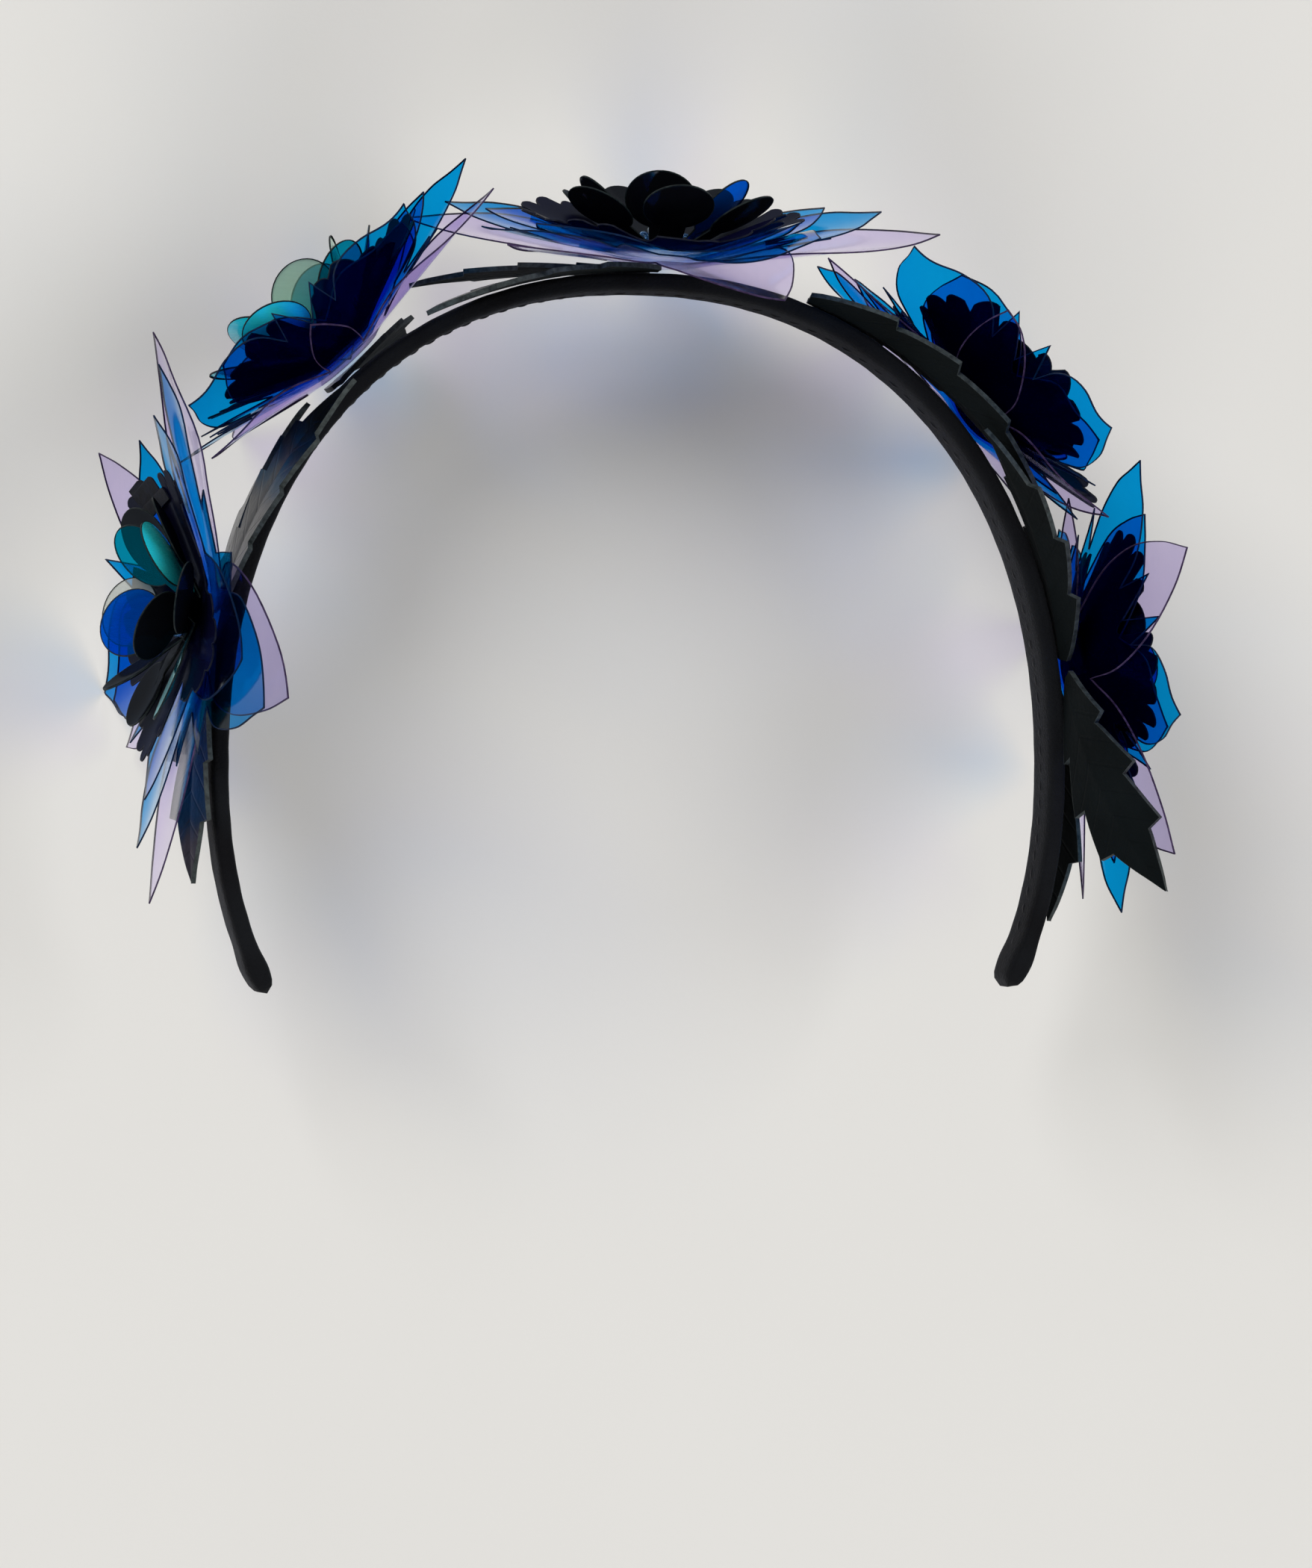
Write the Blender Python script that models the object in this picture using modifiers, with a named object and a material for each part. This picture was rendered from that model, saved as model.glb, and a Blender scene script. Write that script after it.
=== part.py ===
"""Flower headband: a narrow covered band with five layered film flowers and black leaves.

The band lies on its back with the front of the arch facing +Z and its crown towards +Y.
Metres, +Z up. The tables below are in millimetres and degrees.
"""

import math

import bmesh
import bpy
from mathutils import Vector

MM = 0.001
COLLECTION = "flower_headband"

# Band: an arch of superellipse form, open below, with a rounded end on each side.
ARCH_HALF_WIDTH = 77.0
ARCH_HEIGHT = 87.5
ARCH_DROP = 78.0
ARCH_FULLNESS = 2.2
ARCH_END_TURN = 120.5
BAND_WIDTH = 12.0
BAND_THICKNESS = 3.4
BAND_STATIONS = 42
BAND_END_LENGTH = 6.0
BAND_END_SHARE = 0.59
BAND_EDGE_ROUND = 0.9
BAND_EDGE_ANGLE = 50.0
SMOOTH_ANGLE = 30.0

# Film, leather and the stack of layers over the band, measured along the flower's axis.
FILM = 0.4
LEATHER = 0.9
CLEARANCE = 0.3
LAYER_CLEARANCE = 0.4
HUB_RADIUS = 7.0
DISC_HUB_RADIUS = 4.6

# Each flower's back petals end on one plane, this far behind the middle of the band.
REST_DEPTH = 46.0

# Black leaf, from stem to tip: share of its length and share of its half width.
LEAF_CUT = (
    # point, reach, half_width
    ("stem", 0.00, 0.24),
    ("tooth", 0.28, 0.94),
    ("notch", 0.29, 0.62),
    ("tooth", 0.52, 1.04),
    ("notch", 0.53, 0.68),
    ("tooth", 0.75, 0.84),
    ("notch", 0.76, 0.50),
    ("tip", 1.00, 0.00),
)

# Half of one petal, from the gap beside it to its tip: share of its length, angle off its axis.
LILAC_CUT = (
    # point, reach, angle
    ("gap", 0.24, 36.0),
    ("cheek", 0.46, 27.0),
    ("widest", 0.66, 17.0),
    ("shoulder", 0.86, 6.6),
    ("tip", 1.00, 0.0),
)
BLUE_CUT = (
    ("gap", 0.46, 36.0),
    ("barb", 0.70, 27.5),
    ("barb foot", 0.52, 21.0),
    ("widest", 0.68, 17.5),
    ("cheek", 0.84, 9.6),
    ("ogee", 0.93, 3.4),
    ("tip", 1.00, 0.0),
)
INNER_BLUE_CUT = (
    ("gap", 0.48, 36.0),
    ("widest", 0.74, 20.0),
    ("cheek", 0.90, 7.5),
    ("tip", 1.00, 0.0),
)

# Scalloped black petals: small round lobes around the end of each.
SCALLOP_REACH = 28.0
SCALLOP_GAP = 0.52
SCALLOP_LOBES = 5
SCALLOP_LOBE_DEPTH = 0.09
SCALLOP_LOBE_SHARE = 0.9
SCALLOP_SPREAD = 27.0
SCALLOP_ROUNDING = 0.22

# Rosette: two tiers of round discs on short necks.
DISC_TIERS = (
    # tier, discs, centre_reach, disc_radius, turn, clear_of_scallops
    ("outer_discs", 6, 17.5, 6.4, 25.0, 4.0),
    ("inner_discs", 5, 14.8, 6.5, 0.0, 16.0),
)
DISC_SIDES = 8
DISC_HALF_ANGLE = 22.0
DISC_NECK = 2.3
DISC_DISH = 0.5

# Crystal at the centre: an eight-sided stone with a table.
CRYSTAL_SIDES = 8
CRYSTAL_RINGS = (
    # height, radius
    (0.0, 1.6),
    (1.5, 3.0),
    (2.1, 3.0),
    (3.4, 1.9),
)

# Each layer fans out above the one below it. These lifts are added to the lilac layer's.
BLUE_EXTRA_LIFT = 4.0
INNER_EXTRA_LIFT = 7.0
SCALLOP_EXTRA_LIFT = 10.8
INNER_BLUE_SHARE = 0.80
INNER_BLUE_TURN = 7.0

# Flowers, from the low left end to the low right end of the band.
# turn: place along the arch, from the crown. lean: how far the front of the flower is tipped up.
# Azimuth 0 points to the front, 90 along the band. Petals are (azimuth, length) rows.
# lift: (azimuth, angle) rows, how far the lilac layer rises from the flower's own plane.
# discs: least rise of the outer and the inner tier, where the discs start, and share of their reach.
FLOWERS = {
    "left_low": {
        "turn": -70.9,
        "lean": -6.0,
        "lilac": ((-16, 48), (92, 52), (139, 46), (-150, 49), (-88, 52)),
        "blue": ((-19, 48), (76, 47), (113, 36), (-162, 50), (-95, 43)),
        "lift": ((-90, 0), (-16, -9), (60, 22), (84, 26), (139, 30), (-150, 1)),
        "discs": (15, 44, -20, 1.0),
    },
    "left_high": {
        "turn": -36.0,
        "lean": 8.0,
        "lilac": ((-11, 24), (61, 42), (133, 50), (-158, 47), (-69, 34)),
        "blue": ((-47, 43), (28, 43), (82, 42), (171, 44), (-119, 38)),
        "lift": (
            (-119, 10), (-66, 3), (-47, 10), (-28, 22), (-11, 25), (8, 22),
            (28, 11), (50, 4), (112, 25), (171, 16),
        ),
        "discs": (36, 60, 4, 1.0),
    },
    "crown": {
        "turn": 2.6,
        "lean": 0.0,
        "lilac": ((14, 50), (87, 52), (160, 50), (-105, 48), (-50, 44)),
        "blue": ((32, 40), (96, 44), (174, 44), (-110, 42), (-60, 43)),
        "lift": ((-140, 22), (-82, 5), (-55, -1), (10, -14), (45, 4), (60, 3), (122, 22), (174, 8)),
        "discs": (30, 46, -87, 0.94),
    },
    "right_high": {
        "turn": 44.0,
        "lean": 12.0,
        "lilac": ((-26, 34), (52, 34), (130, 36), (-158, 50), (-84, 41)),
        "blue": ((-51, 44), (16, 43), (88, 27), (160, 44), (-123, 46)),
        "lift": (
            (-123, 4), (-87, -9), (-69, -13), (-51, -9), (-33, 4), (-18, 10), (0, 4),
            (16, -5), (34, -9), (58, 2), (130, 20), (180, 28), (-155, 24),
        ),
        "discs": (6, 22, 15, 0.75),
    },
    "right_low": {
        "turn": 77.0,
        "lean": 8.0,
        "lilac": ((-24, 48), (45, 49), (117, 50), (-171, 50), (-100, 33)),
        "blue": ((-60, 43), (13, 44), (82, 46), (152, 44), (-132, 38)),
        "lift": ((-132, 20), (-60, 11), (-24, 9), (13, -3), (45, 1), (85, -2), (130, 14), (180, 22)),
        "discs": (6, 20, 5, 0.75),
    },
}

# Leaves. turn, front and height: place of the stem on the band's outer face.
# heading: azimuth of the leaf there. twist: turn about its own length, reached at the tip.
# front_rise: how far the half to the front is folded up along the midrib.
# bend: how far it curls towards the head over its length.
LEAVES = (
    # name, turn, front, height, heading, lift, twist, front_rise, bend, length, half_width
    ("left_low_front_leaf", -69.5, 4.0, 0.75, 74.0, 0.0, 14.0, 0.0, 30.0, 47.0, 8.5),
    ("left_low_back_leaf", -69.5, -4.5, 0.75, 107.0, 0.0, 0.0, 0.0, 24.0, 44.0, 8.5),
    ("left_low_end_leaf", -72.5, 1.0, 0.75, -86.0, 3.0, -30.0, 0.0, 16.0, 45.0, 8.0),
    ("left_high_back_leaf", -38.0, -2.0, 0.75, 150.0, 0.0, 0.0, 0.0, 10.0, 42.0, 8.5),
    ("crown_front_leaf", 1.5, 4.0, 0.75, -80.0, 0.0, 0.0, 0.0, 26.0, 45.0, 8.0),
    ("crown_back_leaf", 1.5, -4.0, 0.75, -108.0, 4.0, 0.0, 0.0, 14.0, 44.0, 8.0),
    ("right_high_leaf", 19.5, 5.0, 0.75, 84.0, 0.0, 0.0, 18.0, 40.0, 57.0, 8.5),
    ("right_low_upper_leaf", 75.5, 4.5, 0.75, -76.0, 0.0, 0.0, 16.0, 28.0, 46.0, 8.5),
    ("right_low_front_leaf", 78.0, 7.0, 0.75, 56.0, -8.0, -46.0, 0.0, -30.0, 48.0, 9.0),
    ("right_low_end_leaf", 78.0, -3.5, 0.75, 94.0, 2.5, -24.0, 0.0, 17.0, 45.0, 8.5),
)

COLOURS = {
    # material: red, green, blue, roughness, metallic, alpha
    "band_cloth": (0.012, 0.012, 0.014, 0.90, 0.0, 1.0),
    "leaf_leather": (0.010, 0.016, 0.017, 0.35, 0.0, 1.0),
    "lilac_film": (0.46, 0.34, 0.55, 0.08, 0.0, 0.45),
    "blue_film": (0.0, 0.25, 0.52, 0.08, 0.0, 0.55),
    "scallop_film": (0.006, 0.008, 0.012, 0.20, 0.0, 1.0),
    "iridescent_film": (0.0, 0.28, 0.38, 0.15, 0.6, 1.0),
    "crystal_glass": (0.75, 0.85, 0.92, 0.03, 0.0, 0.6),
}


def clear_scene():
    """Removes the scene's objects."""
    for item in list(bpy.data.objects):
        bpy.data.objects.remove(item, do_unlink=True)


def material(name):
    """The named Principled material, made once."""
    found = bpy.data.materials.get(name)
    if found:
        return found
    red, green, blue, roughness, metallic, alpha = COLOURS[name]
    made = bpy.data.materials.new(name)
    made.use_nodes = True
    made.diffuse_color = (red, green, blue, alpha)
    shader = made.node_tree.nodes["Principled BSDF"]
    shader.inputs["Base Color"].default_value = (red, green, blue, 1.0)
    shader.inputs["Roughness"].default_value = roughness
    shader.inputs["Metallic"].default_value = metallic
    shader.inputs["Alpha"].default_value = alpha
    return made


def add_object(name, mesh, finish):
    """Puts a mesh in the headband's collection with its material."""
    item = bpy.data.objects.new(name, mesh)
    bpy.data.collections[COLLECTION].objects.link(item)
    mesh.materials.append(material(finish))
    mesh.shade_smooth()
    mesh.set_sharp_from_angle(angle=math.radians(SMOOTH_ANGLE))
    return item


def add_thickness(item, thickness):
    """Turns an open sheet into a closed one, half its thickness to each side."""
    solid = item.modifiers.new("Thickness", "SOLIDIFY")
    solid.thickness = thickness * MM
    solid.offset = 0.0
    return solid


def sheet(name, finish, points, faces, thickness):
    """An object made from an open sheet of points in millimetres."""
    mesh = bpy.data.meshes.new(name)
    mesh.from_pydata([point * MM for point in points], [], faces)
    mesh.update()
    item = add_object(name, mesh, finish)
    add_thickness(item, thickness)
    return item


def arch_point(turn):
    """Middle of the band at this angle from the crown."""
    angle = math.radians(turn)
    across = abs(math.sin(angle) / ARCH_HALF_WIDTH) ** ARCH_FULLNESS
    upright = ARCH_HEIGHT if math.cos(angle) > 0 else ARCH_DROP
    up = abs(math.cos(angle) / upright) ** ARCH_FULLNESS
    radius = (across + up) ** (-1.0 / ARCH_FULLNESS)
    return Vector((radius * math.sin(angle), radius * math.cos(angle), 0.0))


def arch_frame(turn):
    """Front, along and outward directions of the band at this angle."""
    step = 0.05
    along = (arch_point(turn + step) - arch_point(turn - step)).normalized()
    front = Vector((0.0, 0.0, 1.0))
    return front, along, front.cross(along)


def outer_face(turn):
    """Point on the band's outer face, on its middle line."""
    return arch_point(turn) + arch_frame(turn)[2] * (BAND_THICKNESS / 2)


def build_band():
    """A strip along the arch, narrowed to a rounded end at each side."""
    points, faces = [], []
    turns = [
        -ARCH_END_TURN + 2 * ARCH_END_TURN * (station / (BAND_STATIONS - 1))
        for station in range(BAND_STATIONS)
    ]
    start, finish = arch_point(turns[0]), arch_point(turns[-1])
    for turn in turns:
        middle = arch_point(turn)
        from_end = min((middle - start).length, (middle - finish).length)
        into_end = min(from_end / BAND_END_LENGTH, 1.0)
        rounding = 1.0 - math.sqrt(1.0 - (1.0 - into_end) ** 2)
        half = BAND_WIDTH / 2 * (1.0 - (1.0 - BAND_END_SHARE) * rounding)
        for side in (-1.0, 0.0, 1.0):
            points.append(middle + Vector((0.0, 0.0, side * half)))
    for station in range(BAND_STATIONS - 1):
        for column in range(2):
            first = 3 * station + column
            faces.append((first, first + 3, first + 4, first + 1))
    item = sheet("band", "band_cloth", points, faces, BAND_THICKNESS)
    edges = item.modifiers.new("Edges", "BEVEL")
    edges.width = BAND_EDGE_ROUND * MM
    edges.segments = 1
    edges.limit_method = "ANGLE"
    edges.angle_limit = math.radians(BAND_EDGE_ANGLE)
    return item


def lift_at(rows, azimuth):
    """Lift at an azimuth, turning smoothly from each row of a flower's lifts to the next."""
    rows = sorted(rows)
    rows = [(rows[-1][0] - 360, rows[-1][1])] + rows + [(rows[0][0] + 360, rows[0][1])]
    azimuth = (azimuth - rows[0][0]) % 360 + rows[0][0]
    for (first, low), (second, high) in zip(rows, rows[1:]):
        if first <= azimuth <= second:
            share = (azimuth - first) / (second - first)
            return low + (high - low) * (1 - math.cos(math.pi * share)) / 2
    return rows[0][1]


def cut_outline(petals, cut, scale=1.0, turned=0.0):
    """Outline of one cut layer as (azimuth, reach) rows, around all its petals."""
    petals = sorted((azimuth % 360, length) for azimuth, length in petals)
    rows = []
    count = len(petals)
    for index, (azimuth, length) in enumerate(petals):
        before = azimuth - petals[index - 1][0] + (360 if index == 0 else 0)
        after = petals[(index + 1) % count][0] - azimuth + (360 if index == count - 1 else 0)
        widest = cut[0][2]
        rising = [(-angle * before / 2 / widest, reach) for _, reach, angle in cut[1:]]
        falling = [(angle * after / 2 / widest, reach) for _, reach, angle in cut[1:-1]]
        for offset, reach in rising + falling[::-1]:
            rows.append((azimuth + turned + offset, length * scale * reach))
        following = petals[(index + 1) % count][1]
        rows.append((azimuth + turned + after / 2, (length + following) / 2 * scale * cut[0][1]))
    return rows


def scallop_outline(petals):
    """Outline of the black layer: five petals, each ending in small round lobes."""
    rows = []
    count = len(petals)
    for azimuth, _ in sorted((azimuth % 360, length) for azimuth, length in petals):
        for lobe in range(SCALLOP_LOBES):
            across = (lobe - (SCALLOP_LOBES - 1) / 2) / (SCALLOP_LOBES / 2)
            reach = SCALLOP_REACH * (1 - SCALLOP_ROUNDING * across**2)
            centre = azimuth + across * SCALLOP_SPREAD
            half = SCALLOP_SPREAD / SCALLOP_LOBES * SCALLOP_LOBE_SHARE
            rows.append((centre - half, reach * (1 - SCALLOP_LOBE_DEPTH)))
            rows.append((centre, reach))
        rows.append((centre + half, reach * (1 - SCALLOP_LOBE_DEPTH)))
        rows.append((azimuth + 180 / count, SCALLOP_REACH * SCALLOP_GAP))
    return rows


def flower_frame(row):
    """Hub centre of a flower and its front, along and outward directions."""
    front, along, outward = arch_frame(row["turn"])
    lean = math.radians(row["lean"])
    raised = BAND_WIDTH / 2 * abs(math.sin(lean))
    tipped = outward * math.cos(lean) - front * math.sin(lean)
    origin = outer_face(row["turn"]) + outward * raised
    return origin, front * math.cos(lean) + outward * math.sin(lean), along, tipped


def flower_point(frame, azimuth, reach, height, lift):
    """A point of a layer: flat inside the hub, then straight out at this lift."""
    origin, front, along, outward = frame
    angle, rise = math.radians(azimuth), math.radians(lift)
    beyond = max(reach - HUB_RADIUS, 0.0)
    away = min(reach, HUB_RADIUS) + beyond * math.cos(rise)
    place = origin + front * (away * math.cos(angle)) + along * (away * math.sin(angle))
    return place + outward * (height + beyond * math.sin(rise))


def build_layer(name, finish, frame, outline, lifts, extra, height, thickness):
    """A cut layer with its petals lifted from a flat hub."""
    points = [flower_point(frame, 0.0, 0.0, height, 0.0)]
    count = len(outline)
    for azimuth, _ in outline:
        points.append(flower_point(frame, azimuth, HUB_RADIUS, height, 0.0))
    for azimuth, reach in outline:
        lift = lift_at(lifts, azimuth) + extra
        tip = flower_point(frame, azimuth, reach, height, lift)
        if tip.z < -REST_DEPTH:
            root = flower_point(frame, azimuth, HUB_RADIUS, height, lift)
            tip = root.lerp(tip, (root.z + REST_DEPTH) / (root.z - tip.z))
        points.append(tip)
    faces = []
    for index in range(count):
        here, there = index + 1, (index + 1) % count + 1
        faces.append((0, here, there))
        faces.append((here, here + count, there + count, there))
    return sheet(name, finish, points, faces, thickness)


def build_discs(name, frame, tier, lifts, least, start, share, height):
    """A tier of round discs, each tilted on a short neck at the hub, clear of the scallops."""
    _, count, centre, radius, turn, clear = tier
    origin, front, along, outward = frame
    middle_reach = centre * share - DISC_HUB_RADIUS
    neck = math.asin(DISC_NECK / radius)
    points, hub, faces = [], [], []
    for disc in range(count):
        heading = start + turn + 360 * disc / count
        beside = (heading - DISC_HALF_ANGLE, heading, heading + DISC_HALF_ANGLE)
        under = max(lift_at(lifts, azimuth) for azimuth in beside) + SCALLOP_EXTRA_LIFT
        rise = math.radians(max(least, under + clear))
        azimuth = math.radians(heading)
        axis = front * math.cos(azimuth) + along * math.sin(azimuth)
        side = along * math.cos(azimuth) - front * math.sin(azimuth)
        base = origin + outward * height + axis * DISC_HUB_RADIUS
        climb = axis * math.cos(rise) + outward * math.sin(rise)
        inward = outward * math.cos(rise) - axis * math.sin(rise)
        left, right, first = len(points), len(points) + 1, len(points) + 2
        points.extend((base - side * DISC_NECK, base + side * DISC_NECK))
        for step in range(DISC_SIDES):
            angle = neck + (2 * math.pi - 2 * neck) * step / (DISC_SIDES - 1)
            reach = middle_reach - radius * math.cos(angle)
            points.append(base + climb * reach + side * (radius * math.sin(angle)))
        middle, last = len(points), len(points) - 1
        points.append(base + climb * middle_reach - inward * DISC_DISH)
        hub.extend((left, right))
        faces.append((right, left, last, middle, first))
        faces.extend((step, middle, step + 1) for step in range(first, last))
    faces.append(tuple(hub))
    return sheet(name, "iridescent_film", points, faces, FILM)


def build_crystal(name, frame, height):
    """An eight-sided stone with a flat table, set on the rosette."""
    origin, front, along, outward = frame
    shape = bmesh.new()
    rings = []
    for rise, radius in CRYSTAL_RINGS:
        ring = []
        for side in range(CRYSTAL_SIDES):
            angle = 2 * math.pi * side / CRYSTAL_SIDES
            flat = front * (radius * math.cos(angle)) + along * (radius * math.sin(angle))
            ring.append(shape.verts.new((origin + flat + outward * (height + rise)) * MM))
        rings.append(ring)
    shape.faces.new(rings[0])
    shape.faces.new(rings[-1])
    for low, high in zip(rings, rings[1:]):
        for side in range(CRYSTAL_SIDES):
            other = (side + 1) % CRYSTAL_SIDES
            shape.faces.new((low[side], low[other], high[other], high[side]))
    bmesh.ops.recalc_face_normals(shape, faces=shape.faces)
    mesh = bpy.data.meshes.new(name)
    shape.to_mesh(mesh)
    shape.free()
    return add_object(name, mesh, "crystal_glass")


def build_flower(name, row):
    """One flower: four cut layers, two tiers of discs and a crystal, stacked with clear gaps."""
    frame = flower_frame(row)
    step = FILM + LAYER_CLEARANCE
    height = CLEARANCE + LEATHER + CLEARANCE + FILM / 2
    lifts = row["lift"]
    layers = (
        ("lilac_petals", "lilac_film", cut_outline(row["lilac"], LILAC_CUT), 0.0),
        ("blue_petals", "blue_film", cut_outline(row["blue"], BLUE_CUT), BLUE_EXTRA_LIFT),
        (
            "inner_blue_petals",
            "blue_film",
            cut_outline(row["blue"], INNER_BLUE_CUT, INNER_BLUE_SHARE, INNER_BLUE_TURN),
            INNER_EXTRA_LIFT,
        ),
        ("scalloped_petals", "scallop_film", scallop_outline(row["blue"]), SCALLOP_EXTRA_LIFT),
    )
    for part, finish, outline, extra in layers:
        build_layer(f"{name}_{part}", finish, frame, outline, lifts, extra, height, FILM)
        height += step
    *rises, start, share = row["discs"]
    for tier, least in zip(DISC_TIERS, rises):
        build_discs(f"{name}_{tier[0]}", frame, tier, lifts, least, start, share, height)
        height += step
    build_crystal(f"{name}_crystal", frame, height - step + FILM / 2 + CLEARANCE)


def build_leaf(row):
    """A toothed leaf lying on the band at its stem and curling towards the head."""
    name, turn, forward, height, heading, lift, twist, front_rise, bend, length, half_width = row
    front, along, outward = arch_frame(turn)
    origin = outer_face(turn) + front * forward + outward * height
    angle = math.radians(heading)
    axis = front * math.cos(angle) + along * math.sin(angle)
    side = along * math.cos(angle) - front * math.sin(angle)
    forward_side = math.copysign(1.0, side.dot(front))
    points, faces = [], []
    for _, reach, half in LEAF_CUT:
        run = reach * length
        curl = math.radians(bend) * reach
        mean = math.radians(lift) - curl / 2
        middle = origin + axis * (run * math.cos(mean)) + outward * (run * math.sin(mean))
        width = half * half_width
        points.append(middle)
        for sign in (-1.0, 1.0) if half else ():
            fold = front_rise if sign == forward_side else 0.0
            tilt = math.radians(twist * reach + sign * fold)
            across = side * math.cos(tilt) + outward * math.sin(tilt)
            points.append(middle + across * (sign * width))
    last = 3 * (len(LEAF_CUT) - 1)
    for rib in range(0, last, 3):
        ahead = rib + 3
        minus, plus = (ahead + 1, ahead + 2) if ahead < last else (None, None)
        faces.append((rib + 1, rib, ahead, minus) if minus else (rib + 1, rib, ahead))
        faces.append((rib, rib + 2, plus, ahead) if plus else (rib, rib + 2, ahead))
    return sheet(name, "leaf_leather", points, faces, LEATHER)


def set_on_floor():
    """Moves everything so that the lowest point is at the origin's height, centred over it."""
    graph = bpy.context.evaluated_depsgraph_get()
    corners = []
    for item in bpy.data.collections[COLLECTION].objects:
        mesh = item.evaluated_get(graph).to_mesh()
        corners.extend(vertex.co.copy() for vertex in mesh.vertices)
    low = Vector(min(corner[axis] for corner in corners) for axis in range(3))
    high = Vector(max(corner[axis] for corner in corners) for axis in range(3))
    shift = Vector((-(low.x + high.x) / 2, -(low.y + high.y) / 2, -low.z))
    for item in bpy.data.collections[COLLECTION].objects:
        item.location = shift


def main():
    clear_scene()
    bpy.context.scene.collection.children.link(bpy.data.collections.new(COLLECTION))
    build_band()
    for row in LEAVES:
        build_leaf(row)
    for name, row in FLOWERS.items():
        build_flower(name, row)
    bpy.context.view_layer.update()
    set_on_floor()
    bpy.context.view_layer.update()


main()
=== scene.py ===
"""Looks of the flower headband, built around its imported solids.

Tables are in millimetres and degrees, in the arch's own frame: +Y to the crown, +Z to the front.
"""

import math

import bpy
from mathutils import Matrix, Vector


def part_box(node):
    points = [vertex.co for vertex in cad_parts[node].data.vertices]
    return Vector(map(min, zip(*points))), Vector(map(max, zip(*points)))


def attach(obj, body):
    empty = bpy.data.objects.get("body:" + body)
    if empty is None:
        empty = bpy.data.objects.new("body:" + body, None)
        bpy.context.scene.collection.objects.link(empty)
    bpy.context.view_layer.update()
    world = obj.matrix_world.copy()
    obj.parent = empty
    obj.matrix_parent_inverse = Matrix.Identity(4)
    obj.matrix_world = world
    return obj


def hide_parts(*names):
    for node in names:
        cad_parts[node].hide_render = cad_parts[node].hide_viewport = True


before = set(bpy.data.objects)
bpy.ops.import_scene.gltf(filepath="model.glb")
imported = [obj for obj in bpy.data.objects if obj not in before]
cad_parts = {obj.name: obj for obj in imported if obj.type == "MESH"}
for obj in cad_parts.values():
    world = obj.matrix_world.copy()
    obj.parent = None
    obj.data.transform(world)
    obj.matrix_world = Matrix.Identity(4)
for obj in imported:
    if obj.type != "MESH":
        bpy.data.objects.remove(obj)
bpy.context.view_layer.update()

MM = 0.001
TINY = 1e-6
SHARP_ANGLE = 48.0

# Camera: level with the band, turned about the crown's upright.
VIEW_YAW = 12.0
VIEW_DISTANCE = 900.0
VIEW_ASIDE = 2.83
VIEW_BELOW = 3.0
LENS = 114.12
SENSOR = 36.0
NEAREST = 0.05
FARTHEST = 20.0

# Stage, in metres.
FLOOR_SIZE = 6.0
WORLD_COLOUR = (0.93, 0.925, 0.91, 1.0)
WORLD_OVERHEAD = 0.12
WORLD_LOW = 0.55
WORLD_TURN = (0.15, 0.75)
LIGHTS = (
    # name, place, size, watts
    ("key_light", (-1.5, 1.3, 2.1), 1.5, 46.0),
    ("fill_light", (2.0, 0.3, 1.9), 1.8, 30.0),
    ("low_light", (-0.2, -2.3, 1.6), 1.6, 25.0),
)

# Arch and band, as in the solids.
ARCH_HALF_WIDTH = 77.0
ARCH_HEIGHT = 87.5
ARCH_DROP = 78.0
ARCH_FULLNESS = 2.2
ARCH_END_TURN = 120.5
ARCH_STEP = 0.05
BAND_WIDTH = 12.0
BAND_THICKNESS = 3.4
BAND_SEGMENTS = 41
BAND_END_LENGTH = 6.0
BAND_END_SHARE = 0.59

# Drawn band: squarish in section, with a swollen tip, a rounded cap and faint wrinkles.
BAND_SAMPLES = 4000
BAND_STATIONS = 261
BAND_EVEN = 0.75
BAND_SECTION = 28
BAND_SQUARE = 5.0
BAND_TIP_SWELL = 0.45
BAND_TIP_AT = 5.0
BAND_TIP_SPREAD = 3.0
BAND_CAP = 2.4
BAND_CAP_WIDTH = 0.72
BAND_LEAST = 0.04
WRINKLE = 0.045
WRINKLE_FINE = 0.9
WRINKLE_LONG = 0.23

# Closing seam along the inner face of the band.
STITCH_PITCH = 3.4
STITCH_LENGTH = 2.2
STITCH_RADIUS = 0.17
STITCH_SLANT = 18.0
STITCH_MARGIN = 6.0
STITCH_SUNK = 0.02
STITCH_BLUNT = 0.06
STITCH_ARCH = 0.16
STITCH_RINGS = 7
STITCH_SIDES = 6

# Stack of layers over the band.
FILM = 0.4
LEATHER = 0.9
CLEARANCE = 0.3
LAYER_CLEARANCE = 0.4
HUB_RADIUS = 7.0
DISC_HUB_RADIUS = 4.6
REST_DEPTH = 46.0

# Drawn film is thinner than its solid. Its cut edge shows as a narrow dark line.
FILM_DRAWN = 0.28
EDGE_LINE = 0.17
PATH_STEPS = 5
RAY_STEPS = 8
SHORTEST_PETAL = 0.5
LEAST_TURN = 1e-3
INSET_LIMIT = 0.3
CUP_RADIUS = 55.0
CUP_LIMIT = 1.1
BOW = 0.55
BOW_SPAN = 40.0
BOW_PHASE = 3

LEAF_CUT = (
    # reach, half_width
    (0.00, 0.24),
    (0.28, 0.94),
    (0.29, 0.62),
    (0.52, 1.04),
    (0.53, 0.68),
    (0.75, 0.84),
    (0.76, 0.50),
    (1.00, 0.00),
)

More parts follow.
